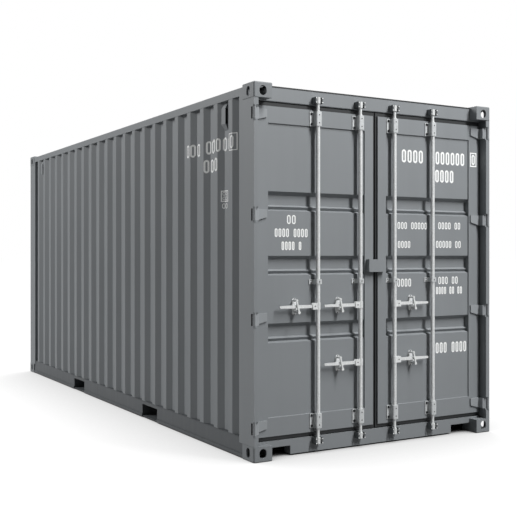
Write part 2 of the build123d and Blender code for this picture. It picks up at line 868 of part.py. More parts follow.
with BuildPart() as door_gasket_right:
    with BuildSketch(Plane.YZ.offset(door_back + gasket_back)):
        with Locations((door_meeting_edge - gasket_meeting_width, door_bottom - gasket_end_width)):
            Rectangle(
                door_width + gasket_meeting_width + gasket_width,
                door_height + 2 * gasket_end_width,
                align=(Align.MIN, Align.MIN),
            )
        with Locations((door_meeting_edge, door_bottom)):
            Rectangle(
                door_width, door_height, align=(Align.MIN, Align.MIN), mode=Mode.SUBTRACT
            )
    extrude(amount=gasket_depth)
save(door_gasket_right.part, "door_gasket_right")

# Hinge blades: a barrel on the pin and a cranked blade that lies on the door
blade_near = hinge_y - reveal + hinge_leg_clearance + 1
blade_lift = frame_side - hinge_y + hinge_leg_clearance
blade_face = hinge_x - door_face
with BuildPart() as hinge_blades_right:
    for hinge_z in hinge_heights:
        with BuildSketch(Plane.XY.offset(hinge_z - hinge_height / 2)):
            with BuildLine():
                Polyline(
                    (hinge_x, hinge_y),
                    (hinge_x - blade_lift, hinge_y - blade_near - hinge_blade_thickness),
                    (
                        hinge_x - blade_face + hinge_blade_thickness,
                        hinge_y - blade_near - hinge_blade_thickness,
                    ),
                    (
                        hinge_x - blade_face + hinge_blade_thickness,
                        door_hinge_edge - hinge_blade_reach,
                    ),
                    (hinge_x - blade_face, door_hinge_edge - hinge_blade_reach),
                    (hinge_x - blade_face, hinge_y - blade_near),
                    (hinge_x - blade_lift - hinge_blade_thickness, hinge_y - blade_near),
                    (hinge_x - blade_lift - hinge_blade_thickness, hinge_y),
                    close=True,
                )
            make_face()
            with Locations((hinge_x, hinge_y)):
                Circle(hinge_barrel_radius)
                Circle(hinge_pin_radius + hinge_running_gap, mode=Mode.SUBTRACT)
        extrude(amount=hinge_height)
        with BuildSketch(Plane.YZ.offset(door_face)):
            with BuildLine():
                Polyline(
                    (door_hinge_edge - hinge_blade_reach, hinge_z - hinge_height / 2),
                    (door_hinge_edge, hinge_z - hinge_height / 2),
                    (
                        door_hinge_edge - hinge_blade_reach,
                        hinge_z + hinge_height / 2 - hinge_blade_tip_height,
                    ),
                    close=True,
                )
            make_face()
        extrude(amount=hinge_blade_thickness, mode=Mode.SUBTRACT)
save(hinge_blades_right.part, "hinge_blades_right")

for source, name in (
    (door_frame_right, "door_frame_left"),
    (door_panel_right, "door_panel_left"),
    (door_gasket_right, "door_gasket_left"),
    (hinge_blades_right, "hinge_blades_left"),
):
    with BuildPart() as left_piece:
        mirror(source.part, about=Plane.XZ)
    save(left_piece.part, name)


def rod_brackets(rod_places, name):
    """Blocks that hold each rod to its door at the top, middle and bottom."""
    bore = rod_radius + bracket_gap
    outer = bore + bracket_strap
    brackets = [(middle, end_bracket_height, door_face) for middle in end_bracket_middles]
    brackets.append((middle_bracket_middle, middle_bracket_height, panel_face))
    with BuildPart() as blocks:
        for rod_y in rod_places:
            for middle, tall, seat_x in brackets:
                with BuildSketch(Plane.XY.offset(middle - tall / 2)):
                    with Locations((rod_x, rod_y)):
                        RectangleRounded(2 * outer, bracket_width, bracket_corner_radius)
                    with Locations((seat_x, rod_y)):
                        Rectangle(rod_x - seat_x, bracket_width, align=(Align.MIN, Align.CENTER))
                    with Locations((seat_x, rod_y - bracket_width / 2)):
                        Rectangle(
                            bracket_lug_thickness, bracket_lug_width, align=(Align.MIN, Align.MAX)
                        )
                    with Locations((rod_x, rod_y)):
                        Circle(bore, mode=Mode.SUBTRACT)
                    with Locations((seat_x, rod_y)):
                        Rectangle(
                            rod_x - seat_x, 2 * bore, align=(Align.MIN, Align.CENTER), mode=Mode.SUBTRACT
                        )
                extrude(amount=tall)
    return save(blocks.part, name)


rod_brackets([-offset_y for offset_y in rod_offsets], "rod_brackets_left")
rod_brackets(rod_offsets, "rod_brackets_right")


def lock_rod(rod_y, grips, side, name):
    """A tube with a cam on a shank at each end and a yoke for each handle, all one welded piece."""
    start = cam_heights[0] - cam_hub_height / 2
    end = cam_heights[1] + cam_hub_height / 2
    tube_start = end_bracket_middles[0] - end_bracket_height / 2 - rod_tube_end
    tube_end = end_bracket_middles[1] + end_bracket_height / 2 + rod_tube_end
    with BuildPart() as rod:
        with BuildSketch(Plane.XY.offset(start)):
            with Locations((rod_x, rod_y)):
                Circle(rod_shank_radius)
        extrude(amount=end - start)
        with BuildSketch(Plane.XY.offset(tube_start)):
            with Locations((rod_x, rod_y)):
                Circle(rod_radius)
        extrude(amount=tube_end - tube_start)
        for cam_z in cam_heights:
            with BuildSketch(Plane.XY.offset(cam_z - cam_hub_height / 2)):
                with Locations((rod_x, rod_y)):
                    Circle(cam_hub_radius)
            extrude(amount=cam_hub_height)
            with BuildSketch(Plane.XY.offset(cam_z - cam_height / 2)):
                with Locations((rod_x, rod_y)):
                    Circle(cam_radius)
                    Rectangle(cam_thickness, 2 * cam_radius, mode=Mode.INTERSECT)
            extrude(amount=cam_height)
        for grip_z in grips:
            with BuildSketch(Plane.XY.offset(grip_z - yoke_collar_height / 2)):
                with Locations((rod_x, rod_y)):
                    Circle(yoke_collar_radius)
            extrude(amount=yoke_collar_height)
            pin_y = rod_y + side * yoke_pin_offset
            back_cheek = handle_back - yoke_cheek_gap - yoke_cheek
            for cheek_x in (back_cheek, handle_front + yoke_cheek_gap):
                with BuildSketch(Plane.YZ.offset(cheek_x)):
                    with Locations((rod_y + side * yoke_reach / 2, grip_z)):
                        RectangleRounded(yoke_reach, yoke_height, yoke_corner_radius)
                extrude(amount=yoke_cheek)
            with BuildSketch(Plane.YZ.offset(back_cheek)):
                with Locations((pin_y, grip_z)):
                    Circle(yoke_pin_radius)
            extrude(amount=handle_thickness + 2 * (yoke_cheek + yoke_cheek_gap))
        with BuildSketch(Plane.XY.offset(tube_start + rod_cap)):
            with Locations((rod_x, rod_y)):
                Circle(rod_radius - rod_wall)
        extrude(amount=tube_end - tube_start - 2 * rod_cap, mode=Mode.SUBTRACT)
    return save(rod.part, name)


lock_rod(-rod_offsets[1], [handle_upper], -1, "lock_rod_left_outer")
lock_rod(-rod_offsets[0], [handle_upper, handle_lower], -1, "lock_rod_left_inner")
lock_rod(rod_offsets[0], [handle_upper, handle_lower], 1, "lock_rod_right_inner")
lock_rod(rod_offsets[1], [], 1, "lock_rod_right_outer")


def handle(rod_y, grip_z, side, name):
    """A flat lever that hinges on its yoke pin and lies level in its catch."""
    pin_y = rod_y + side * yoke_pin_offset
    grip_y = rod_y + side * catch_offset
    tip_y = rod_y + side * (handle_length - handle_tip_height / 2)
    with BuildPart() as lever:
        with BuildSketch(Plane.YZ.offset(handle_back)):
            with BuildLine():
                Polyline(
                    (pin_y, grip_z - handle_root_height / 2),
                    (grip_y, grip_z - handle_grip_height / 2),
                    (tip_y, grip_z - handle_tip_height / 2),
                    (tip_y, grip_z + handle_tip_height / 2),
                    (grip_y, grip_z + handle_grip_height / 2),
                    (pin_y, grip_z + handle_root_height / 2),
                    close=True,
                )
            make_face()
            with Locations((tip_y, grip_z)):
                Circle(handle_tip_height / 2)
            with Locations((pin_y, grip_z)):
                Circle(yoke_eye_radius)
                Circle(yoke_pin_radius + pin_running_gap, mode=Mode.SUBTRACT)
        extrude(amount=handle_thickness)
    return save(lever.part, name)


def catch_flap(rod_y, grip_z, side, name):
    """A strap on a pivot above the handle that crosses in front of it."""
    catch_y = rod_y + side * catch_offset
    pivot = (catch_y + flap_pivot_across, grip_z + flap_pivot_rise)
    foot = (catch_y + flap_end_across, grip_z + flap_end_rise)
    with BuildPart() as flap:
        with BuildSketch(Plane.YZ.offset(flap_back)):
            with Locations(((pivot[0] + foot[0]) / 2, (pivot[1] + foot[1]) / 2)):
                Rectangle(
                    hypot(flap_end_across - flap_pivot_across, flap_end_rise - flap_pivot_rise),
                    flap_bar_width,
                    rotation=degrees(
                        atan2(flap_end_rise - flap_pivot_rise, flap_end_across - flap_pivot_across)
                    ),
                )
            with Locations(foot):
                Circle(flap_end_radius)
            with Locations(pivot):
                Circle(flap_eye_radius)
                Circle(flap_pivot_radius + pin_running_gap, mode=Mode.SUBTRACT)
        extrude(amount=flap_thickness)
    return save(flap.part, name)


def catches(handles, side, name):
    """Catch plates with a lipped shelf under each handle and two bosses for its flap."""
    seat = handle_grip_height / 2 + catch_seat_gap
    boss_end = flap_back - flap_seat_gap
    with BuildPart() as plates:
        for rod_y, grip_z in handles.values():
            catch_y = rod_y + side * catch_offset
            with BuildSketch(Plane.YZ.offset(panel_face)):
                with Locations((catch_y, grip_z)):
                    SlotOverall(catch_plate_height, catch_plate_width, rotation=90)
            extrude(amount=catch_plate)
            with BuildSketch(Plane.XZ.offset(-catch_y - catch_shelf_width / 2)):
                with Locations((panel_face, grip_z - seat)):
                    Rectangle(
                        catch_front - panel_face, catch_shelf_thickness, align=(Align.MIN, Align.MAX)
                    )
                with Locations((catch_lip_back, grip_z - seat)):
                    Rectangle(
                        catch_lip_thickness, catch_lip_height, align=(Align.MIN, Align.MIN)
                    )
            extrude(amount=catch_shelf_width)
            with BuildSketch(Plane.YZ.offset(panel_face)):
                with Locations(
                    (catch_y + flap_pivot_across, grip_z + flap_pivot_rise),
                    (catch_y + flap_end_across, grip_z + flap_end_rise),
                ):
                    Circle(flap_boss_radius)
            extrude(amount=boss_end - panel_face)
            with BuildSketch(Plane.YZ.offset(boss_end)):
                with Locations((catch_y + flap_pivot_across, grip_z + flap_pivot_rise)):
                    Circle(flap_pivot_radius)
            extrude(amount=flap_front - boss_end + flap_pin_proud)
    return save(plates.part, name)


catches(left_handles, -1, "handle_catches_left")
catches(right_handles, 1, "handle_catches_right")
for handles, side in ((left_handles, -1), (right_handles, 1)):
    for place, (rod_y, grip_z) in handles.items():
        handle(rod_y, grip_z, side, f"handle_{place}")
        catch_flap(rod_y, grip_z, side, f"catch_flap_{place}")


# Lock box: a cover open below, fixed to the right door, over a lug on the left one
with BuildPart() as lock_box:
    with BuildSketch(Plane.YZ.offset(door_face)):
        with Locations((door_meeting_edge, lock_box_bottom)):
            Rectangle(
                lock_box_right - door_meeting_edge, lock_box_height, align=(Align.MIN, Align.MIN)
            )
    extrude(amount=lock_box_gap)
    with BuildSketch(Plane.YZ.offset(door_face + lock_box_gap)):
        with Locations((lock_box_left, lock_box_bottom)):
            Rectangle(
                lock_box_right - lock_box_left, lock_box_height, align=(Align.MIN, Align.MIN)
            )
    extrude(amount=lock_box_depth)
    with BuildSketch(Plane.YZ.offset(door_face + lock_box_gap)):
        with Locations((lock_box_left + lock_box_wall, lock_box_bottom)):
            Rectangle(
                lock_box_right - lock_box_left - 2 * lock_box_wall,
                lock_box_height - lock_box_wall,
                align=(Align.MIN, Align.MIN),
            )
    extrude(amount=lock_box_depth - lock_box_wall, mode=Mode.SUBTRACT)
save(lock_box.part, "lock_box")

with BuildPart() as lock_lug:
    with BuildSketch(Plane.XZ.offset(-lock_lug_across)):
        with Locations((door_face, lock_box_bottom + lock_box_wall)):
            Rectangle(lock_lug_depth, lock_lug_height, align=(Align.MIN, Align.MIN))
        with Locations((door_face + lock_lug_depth / 2, lock_box_bottom + lock_lug_height / 2)):
            Circle(lock_lug_depth / 4, mode=Mode.SUBTRACT)
    extrude(amount=bracket_lug_thickness)
save(lock_lug.part, "lock_lug")
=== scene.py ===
"""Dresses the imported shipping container: painted steel, zinced lock gear, rubber seals."""

import json
from itertools import product
from math import cos, pi, radians, sin

import bmesh
import bpy
from mathutils import Matrix, Vector


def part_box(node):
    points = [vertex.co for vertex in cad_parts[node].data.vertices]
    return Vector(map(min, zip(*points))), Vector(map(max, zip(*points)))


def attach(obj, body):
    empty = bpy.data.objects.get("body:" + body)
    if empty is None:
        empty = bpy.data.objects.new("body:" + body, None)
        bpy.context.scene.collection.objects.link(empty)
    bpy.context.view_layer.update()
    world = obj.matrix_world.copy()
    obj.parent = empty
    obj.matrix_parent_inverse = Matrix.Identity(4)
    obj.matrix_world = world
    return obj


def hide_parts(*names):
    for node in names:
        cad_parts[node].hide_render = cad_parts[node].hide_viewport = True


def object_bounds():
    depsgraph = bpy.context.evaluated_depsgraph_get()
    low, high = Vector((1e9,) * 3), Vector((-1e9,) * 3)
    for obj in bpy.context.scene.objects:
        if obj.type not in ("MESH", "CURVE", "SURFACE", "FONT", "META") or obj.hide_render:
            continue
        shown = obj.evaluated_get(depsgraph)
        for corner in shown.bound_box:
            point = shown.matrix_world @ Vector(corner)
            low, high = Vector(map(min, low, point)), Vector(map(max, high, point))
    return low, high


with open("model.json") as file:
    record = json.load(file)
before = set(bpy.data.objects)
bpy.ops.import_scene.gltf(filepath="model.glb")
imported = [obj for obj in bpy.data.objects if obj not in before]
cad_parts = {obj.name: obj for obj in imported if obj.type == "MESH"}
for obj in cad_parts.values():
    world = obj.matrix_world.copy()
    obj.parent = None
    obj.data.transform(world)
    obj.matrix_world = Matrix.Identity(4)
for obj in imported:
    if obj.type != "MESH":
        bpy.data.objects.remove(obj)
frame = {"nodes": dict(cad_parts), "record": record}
cad_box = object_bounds()

mm = 0.001

# Camera, as the photograph was taken
image_width = 517
camera_place = (8.758, -4.534, 1.580)
camera_heading = radians(60.33)
camera_lens = 60.99
picture_centre = (247.97, 254.59)

# Lights. The key lights the door end, the fill the left side, the back light the rest
key_azimuth = radians(26)
key_elevation = radians(50)
key_distance = 12
key_size = (1.6, 9)
key_power = 2150
fill_azimuth = radians(235)
fill_elevation = radians(28)
fill_distance = 20
fill_size = (8, 8)
fill_power = 2900
back_azimuth = radians(140)
back_elevation = radians(32)
back_distance = 12
back_size = (5, 5)
back_power = 1300
ambient = 0.12

# Studio floor, and how far its dark contact shade and its wide faint shade reach
floor_size = 400
floor_contact = 500 * mm
floor_shade = 1500 * mm

# Real sizes of the patterns in the finishes, and how far rain runs and wood grain are drawn out
tone_drift = 900 * mm
rain_run = 55 * mm
rain_run_squeeze = 0.04
orange_peel = 14 * mm
zinc_spangle = 11 * mm
zinc_grain = 5 * mm
rubber_chalk = 60 * mm
rubber_skin = 3 * mm
veneer_grain = 18 * mm
veneer_grain_squeeze = 0.06
stencil_patch = 22 * mm
coating_mottle = 2.5 * mm

# Wave of the side walls, as the sheet is pressed
wall_wave_offset = 291 * mm
wall_ridges = 22
wall_pitch = 252.4 * mm
wall_crest = 66 * mm
wall_flank = 60 * mm
wall_depth = 36 * mm
wall_ridge = 2 * wall_flank + wall_crest

# Painted markings: rows of plain zeros
paint_lift = 0.1 * mm
paint_thickness = 0.4 * mm
zero_corners = 20
zero_width_share = 0.76
zero_stroke_share = 0.145

# Lock gear, for its fasteners
rod_offsets = [178 * mm, 597 * mm]
rod_standoff = 30 * mm
bracket_lug_offset = 45 * mm
bracket_lug_thickness = 6 * mm
bracket_front = 22 * mm
end_bracket_heights = [259 * mm, 2660 * mm]
end_bracket_spread = 41 * mm
middle_bracket_height = 1364 * mm
middle_bracket_spread = 10 * mm
bush_screw_spread = 32 * mm
handle_heights = [700 * mm, 1170 * mm]
yoke_pin_offset = 36 * mm
yoke_front = 15.5 * mm
catch_offset = 202 * mm
catch_plate = 4 * mm
catch_rivet_rise = 60 * mm
cam_heights = [100 * mm, 2806 * mm]
keeper_front = 22 * mm
keeper_rivet_spread = 29.5 * mm
keeper_rivet_rise = 17 * mm

# Bolts, rivets and screws
bolt_across = 15 * mm
bolt_height = 6 * mm
bolt_corners = 6
washer_radius = 11 * mm
washer_height = 2 * mm
washer_corners = 18
rivet_radius = 5 * mm
rivet_height = 2.5 * mm
rivet_corners = 12
bush_screw_radius = 4.5 * mm

# Floor boards and their screws
board_count = 5
board_gap = 3 * mm
board_edge = 2 * mm
board_screw_radius = 6 * mm
board_screw_corners = 10
board_screw_proud = 0.4 * mm
board_screw_columns = 9
board_screw_edge = 70 * mm

# Seams
casting_width = 162 * mm
dark_strip_height = 12 * mm
dark_strip_proud = 0.6 * mm
weld_radius = 4 * mm
weld_corners = 8


def linear(hex_code):
    """Turn an sRGB hex colour into linear red, green, blue and alpha."""
    shares = [int(hex_code[place : place + 2], 16) / 255 for place in (1, 3, 5)]
    return [
        share / 12.92 if share <= 0.04045 else ((share + 0.055) / 1.055) ** 2.4
        for share in shares
    ] + [1]


def darker(tone, share):
    """Bring a linear colour down to a share of its brightness."""
    return [part * share for part in tone[:3]] + [1]


def add_node(tree, kind, values=None, links=None, **settings):
    """Add one shader node with its settings, its values and what feeds it."""
    node = tree.nodes.new(kind)
    for name, value in settings.items():
        setattr(node, name, value)
    for socket, value in (values or {}).items():
        node.inputs[socket].default_value = value
    for socket, source in (links or {}).items():
        tree.links.new(source, node.inputs[socket])
    return node


def new_material(name):
    """Start a material and return it with its tree, its main shader and the object position."""
    material = bpy.data.materials.new(name)
    material.use_nodes = True
    tree = material.node_tree
    shader = tree.nodes["Principled BSDF"]
    place = add_node(tree, "ShaderNodeTexCoord").outputs["Object"]
    return material, tree, shader, place


# Chassis paint: alkyd enamel sprayed on blasted steel. Even satin grey, with a slight orange peel
# in the gloss, soft drifts of tone, faint runs left by rain, and painted shade in corners and
# hollows.
def chassis_paint(name, colour, peel_height, painted_shade_reach, painted_shade_limit=0.5):
    material, tree, shader, place = new_material(name)
    drift = add_node(
        tree,
        "ShaderNodeTexNoise",
        {"Scale": 1 / tone_drift, "Detail": 3, "Roughness": 0.55},
        {"Vector": place},
    )
    stretched = add_node(
        tree, "ShaderNodeMapping", {"Scale": (1, 1, rain_run_squeeze)}, {"Vector": place}
    )
    runs = add_node(
        tree,
        "ShaderNodeTexNoise",
        {"Scale": 1 / rain_run, "Detail": 2, "Roughness": 0.5},
        {"Vector": stretched.outputs["Vector"]},
    )
    blend = add_node(
        tree,
        "ShaderNodeMath",
        {1: 0.45},
        {0: runs.outputs["Fac"], 2: drift.outputs["Fac"]},
        operation="MULTIPLY_ADD",
    )
    shade = add_node(
        tree,
        "ShaderNodeMapRange",
        {"From Min": 0.45, "From Max": 1.05},
        {"Value": blend.outputs["Value"]},
    )
    light_tone = linear(colour)
    tone = add_node(
        tree,
        "ShaderNodeMix",
        {6: darker(light_tone, 0.9), 7: light_tone},
        {0: shade.outputs["Result"]},
        data_type="RGBA",
    )
    # Real orange peel is 1 to 3 mm across, drawn coarser here so that it shows
    peel = add_node(
        tree,
        "ShaderNodeTexNoise",
        {"Scale": 1 / orange_peel, "Detail": 2, "Roughness": 0.6},
        {"Vector": place},
    )
    gloss = add_node(
        tree,
        "ShaderNodeMapRange",
        {"From Min": 0.3, "From Max": 0.7, "To Min": 0.52, "To Max": 0.62},
        {"Value": runs.outputs["Fac"]},
    )
    bump = add_node(
        tree,
        "ShaderNodeBump",
        {"Strength": 0.35, "Distance": peel_height},
        {"Height": peel.outputs["Fac"]},
    )
    # Painted shade: the inner corners and hollows are darker than the open faces, by how much sky
    # nearby parts hide
    painted_shade_sky = add_node(tree, "ShaderNodeAmbientOcclusion", {"Distance": painted_shade_reach})
    painted_shade_factor = add_node(
        tree,
        "ShaderNodeMapRange",
        {"From Min": 0.1, "From Max": painted_shade_limit, "To Min": 0.25, "To Max": 1.0},
        {"Value": painted_shade_sky.outputs["AO"]},
    )
    painted_shade_tone = add_node(
        tree,
        "ShaderNodeMix",
        {6: (0.0, 0.0, 0.0, 1.0)},
        {0: painted_shade_factor.outputs["Result"], 7: tone.outputs[2]},
        data_type="RGBA",
    )
    tree.links.new(painted_shade_tone.outputs[2], shader.inputs["Base Color"])
    tree.links.new(gloss.outputs["Result"], shader.inputs["Roughness"])
    tree.links.new(bump.outputs["Normal"], shader.inputs["Normal"])
    shader.inputs["IOR"].default_value = 1.5
    return material


# Hot-dip galvanised steel: a dull light grey with the flaky spangle of the zinc crystals.
def galvanised_steel(name, colour):
    material, tree, shader, place = new_material(name)
    spangle = add_node(
        tree, "ShaderNodeTexVoronoi", {"Scale": 1 / zinc_spangle}, {"Vector": place}
    )
    crystal = add_node(tree, "ShaderNodeSeparateColor", None, {"Color": spangle.outputs["Color"]})
    light_tone = linear(colour)
    tone = add_node(
        tree,
        "ShaderNodeMix",
        {6: darker(light_tone, 0.86), 7: light_tone},
        {0: crystal.outputs["Red"]},
        data_type="RGBA",
    )
    dull = add_node(
        tree,
        "ShaderNodeMapRange",
        {"To Min": 0.42, "To Max": 0.58},
        {"Value": crystal.outputs["Green"]},
    )
    grain = add_node(
        tree, "ShaderNodeTexNoise", {"Scale": 1 / zinc_grain, "Detail": 2}, {"Vector": place}
    )
    bump = add_node(
        tree,
        "ShaderNodeBump",
        {"Strength": 0.25, "Distance": 0.4 * mm},
        {"Height": grain.outputs["Fac"]},
    )
    tree.links.new(tone.outputs[2], shader.inputs["Base Color"])
    tree.links.new(dull.outputs["Result"], shader.inputs["Roughness"])
    tree.links.new(bump.outputs["Normal"], shader.inputs["Normal"])
    shader.inputs["Metallic"].default_value = 0.22
    return material


# EPDM rubber: extruded black door seal with a dry, slightly chalky skin.
def seal_rubber(name, colour):
    material, tree, shader, place = new_material(name)
    chalk = add_node(
        tree, "ShaderNodeTexNoise", {"Scale": 1 / rubber_chalk, "Detail": 4}, {"Vector": place}
    )
    light_tone = linear(colour)
    tone = add_node(
        tree,
        "ShaderNodeMix",
        {6: darker(light_tone, 0.6), 7: light_tone},
        {0: chalk.outputs["Fac"]},
        data_type="RGBA",
    )
    skin = add_node(
        tree, "ShaderNodeTexNoise", {"Scale": 1 / rubber_skin, "Detail": 2}, {"Vector": place}
    )
    bump = add_node(
        tree,
        "ShaderNodeBump",
        {"Strength": 0.3, "Distance": 0.2 * mm},
        {"Height": skin.outputs["Fac"]},
    )
    tree.links.new(tone.outputs[2], shader.inputs["Base Color"])
    tree.links.new(bump.outputs["Normal"], shader.inputs["Normal"])
    shader.inputs["Roughness"].default_value = 0.62
    return material


# Marine plywood: red brown phenol glue soaked into the face veneer, grain along the boards.
def floor_plywood(name, light_colour, dark_colour):
    material, tree, shader, place = new_material(name)
    along = add_node(
        tree, "ShaderNodeMapping", {"Scale": (veneer_grain_squeeze, 1, 1)}, {"Vector": place}
    )
    grain = add_node(
        tree,
        "ShaderNodeTexNoise",
        {"Scale": 1 / veneer_grain, "Detail": 6, "Roughness": 0.6, "Distortion": 0.6},
        {"Vector": along.outputs["Vector"]},
    )
    tone = add_node(
        tree,
        "ShaderNodeMix",
        {6: linear(dark_colour), 7: linear(light_colour)},
        {0: grain.outputs["Fac"]},
        data_type="RGBA",
    )
    bump = add_node(
        tree,
        "ShaderNodeBump",
        {"Strength": 0.3, "Distance": 0.5 * mm},
        {"Height": grain.outputs["Fac"]},
    )
    tree.links.new(tone.outputs[2], shader.inputs["Base Color"])
    tree.links.new(bump.outputs["Normal"], shader.inputs["Normal"])
    shader.inputs["Roughness"].default_value = 0.5
    return material


# Marking paint: thin matt white sprayed through a stencil, patchy where the coat is lean.
def stencil_paint(name, colour):
    material, tree, shader, place = new_material(name)
    patch = add_node(
        tree, "ShaderNodeTexNoise", {"Scale": 1 / stencil_patch, "Detail": 4}, {"Vector": place}
    )
    full_tone = linear(colour)
    tone = add_node(
        tree,
        "ShaderNodeMix",
        {6: darker(full_tone, 0.9), 7: full_tone},
        {0: patch.outputs["Fac"]},
        data_type="RGBA",
    )
    tree.links.new(tone.outputs[2], shader.inputs["Base Color"])
    shader.inputs["Roughness"].default_value = 0.6
    return material


# Fastener coatings: the dark matt grey of bolts and rivets dipped in zinc dust and resin, or
# the near black of ones boiled in oxide salts. Both keep a fine mottle.
def fastener_coating(name, colour):
    material, tree, shader, place = new_material(name)
    mottle = add_node(
        tree, "ShaderNodeTexNoise", {"Scale": 1 / coating_mottle, "Detail": 3}, {"Vector": place}
    )
    light_tone = linear(colour)
    tone = add_node(
        tree,
        "ShaderNodeMix",
        {6: darker(light_tone, 0.6), 7: light_tone},
        {0: mottle.outputs["Fac"]},
        data_type="RGBA",
    )
    tree.links.new(tone.outputs[2], shader.inputs["Base Color"])
    shader.inputs["Metallic"].default_value = 0.5
    shader.inputs["Roughness"].default_value = 0.48
    return material


# One finish for each slot of the record
finishes = {
    "painted_steel": chassis_paint("chassis_enamel", "#84888B", 0.35 * mm, 60 * mm),
    "painted_casting": chassis_paint("enamel_on_cast_steel", "#808487", 1.4 * mm, 120 * mm),
    "zinc_steel": galvanised_steel("hot_dip_zinc", "#E6E8E8"),
    "seal_rubber": seal_rubber("epdm_rubber", "#232628"),
    "plywood": floor_plywood("phenolic_plywood", "#9A5B3C", "#6B3A26"),
}
marking_white = stencil_paint("stencil_white", "#FCFDFC")
bolt_zinc = fastener_coating("zinc_flake_bolts", "#6F7375")
bolt_black = fastener_coating("black_oxide_bolts", "#2E3133")

# The rails and the underside wear a darker grey enamel than the walls, and the brackets' zinc is
# duller than the rods'
underside_dark_enamel = chassis_paint("darker_enamel_on_underside", "#505457", 0.8 * mm, 120 * mm)
bracket_zinc = galvanised_steel("hot_dip_zinc_on_brackets", "#CDD0D1")
# Painted light: the hinge blades wear a lighter copy of the enamel, as if they caught more light
hinge_painted_light = chassis_paint("enamel_on_forgings_painted_light", "#94989B", 1.2 * mm, 40 * mm)
# Painted shade: the reveals of the posts wear the enamel with a deeper, wider darkening in their
# corners
reveal_painted_shade = chassis_paint("enamel_with_painted_shade", "#84888B", 0.35 * mm, 150 * mm, 0.8)

# Nodes that don't wear the finish of their slot
node_finishes = {
    "bottom_side_rails": underside_dark_enamel,
    "bottom_rail_webs": underside_dark_enamel,
    "fork_pockets": underside_dark_enamel,
    "fork_pocket_plates": underside_dark_enamel,
    "cross_members": underside_dark_enamel,
    # The cam keepers take the dark bolt coating, partly as painted shade for the holes and shadow
    # round each cam
    "cam_keepers": bolt_zinc,
    "rod_brackets_left": bracket_zinc,
    "rod_brackets_right": bracket_zinc,
    "hinge_blades_left": hinge_painted_light,
    "hinge_blades_right": hinge_painted_light,
    "door_posts": reveal_painted_shade,
}

for subpart in frame["record"]["subparts"]:
    mesh = frame["nodes"][subpart["node"]].data
    mesh.materials.clear()
    mesh.materials.append(node_finishes.get(subpart["node"], finishes[subpart["material_slot"]]))

# Faces that the added pieces sit on
door_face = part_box("door_frame_left")[1].x
panel_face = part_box("door_panel_left")[1].x
wall_face = -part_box("side_wall_left")[0].y
wall_wave_start = cad_box[1].x - wall_wave_offset
rod_axis = door_face + rod_standoff


def finish_piece(shape, name, body, material):
    """Turn a bmesh into a piece that rides on a body."""
    mesh = bpy.data.meshes.new(name)
    shape.to_mesh(mesh)
    shape.free()
    mesh.materials.append(material)
    piece = bpy.data.objects.new(name, mesh)
    bpy.context.scene.collection.objects.link(piece)
    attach(piece, body)
    return piece


# Painted markings
def add_zero(shape, left, foot, height, width):
    """Add a narrow zero to a flat shape: two rounded loops bridged into a ring."""
    loops = []
    middle = Matrix.Translation((left + width / 2, foot + width / 2, 0))
    for inset in (0, height * zero_stroke_share):
        corners = bmesh.ops.create_circle(
            shape,
            segments=zero_corners,
            radius=width / 2 - inset,
            matrix=middle @ Matrix.Rotation(pi / zero_corners, 4, "Z"),
        )["verts"]
        upper = [corner for corner in corners if corner.co.y > foot + width / 2]
        bmesh.ops.translate(shape, verts=upper, vec=(0, height - width, 0))
        loops += dict.fromkeys(edge for corner in corners for edge in corner.link_edges)
    bmesh.ops.bridge_loops(shape, edges=loops)


def add_frame(shape, left, foot, width, height, stroke):
    """Add a rectangular outline to a flat shape."""
    sheet = bmesh.ops.create_grid(shape, x_segments=1, y_segments=1, size=0.5)["verts"]
    bmesh.ops.scale(shape, verts=sheet, vec=(width, height, 1))
    bmesh.ops.translate(shape, verts=sheet, vec=(left + width / 2, foot + height / 2, 0))
    faces = sheet[0].link_faces[:]
    bmesh.ops.inset_region(
        shape, faces=faces, thickness=stroke, use_even_offset=True, use_boundary=True
    )
    bmesh.ops.delete(shape, geom=faces, context="FACES")


def add_row(shape, text, left, foot, height, step):
    """Add a row of zeros. A space leaves a gap in it."""
    for place, letter in enumerate(text):
        if letter == "0":
            add_zero(shape, left + place * step, foot, height, step * zero_width_share)


def flat_marking(rows, frames):
    """Draw rows of zeros and outlines in mm: a row's text, left, foot, height and step, and an
    outline's left, foot, width, height and stroke."""
    shape = bmesh.new()
    for text, *sizes in rows:
        add_row(shape, text, *[size * mm for size in sizes])
    for outline in frames:
        add_frame(shape, *[size * mm for size in outline])
    return shape


def thicken(shape):
    """Give a flat marking the thickness of its coat."""
    top = bmesh.ops.extrude_face_region(shape, geom=shape.faces[:])["geom"]
    corners = [part for part in top if isinstance(part, bmesh.types.BMVert)]
    bmesh.ops.translate(shape, verts=corners, vec=(0, 0, paint_thickness))
    bmesh.ops.translate(shape, verts=shape.verts, vec=(0, 0, paint_lift))
    bmesh.ops.recalc_face_normals(shape, faces=shape.faces)


# A flat marking's right, up and outward turned to the door end
onto_doors = Matrix(((0, 0, 1, 0), (1, 0, 0, 0), (0, 1, 0, 0), (0, 0, 0, 1)))


def door_marking(name, body, seat, rows, frames=()):
    """Paint a marking on a door, on a face at this distance along the length."""
    shape = flat_marking(rows, frames)
    thicken(shape)
    place = Matrix.Translation((seat, 0, 0)) @ onto_doors
    bmesh.ops.transform(shape, matrix=place, verts=shape.verts)
    finish_piece(shape, name, body, marking_white)


def wall_reach(x):
    """How far the left wall's outer skin stands from the middle plane at this length."""
    along = (wall_wave_start - x) % wall_pitch
    if along >= wall_ridge:
        return wall_face - wall_depth
    return wall_face - wall_depth * max(0, 1 - min(along, wall_ridge - along) / wall_flank)


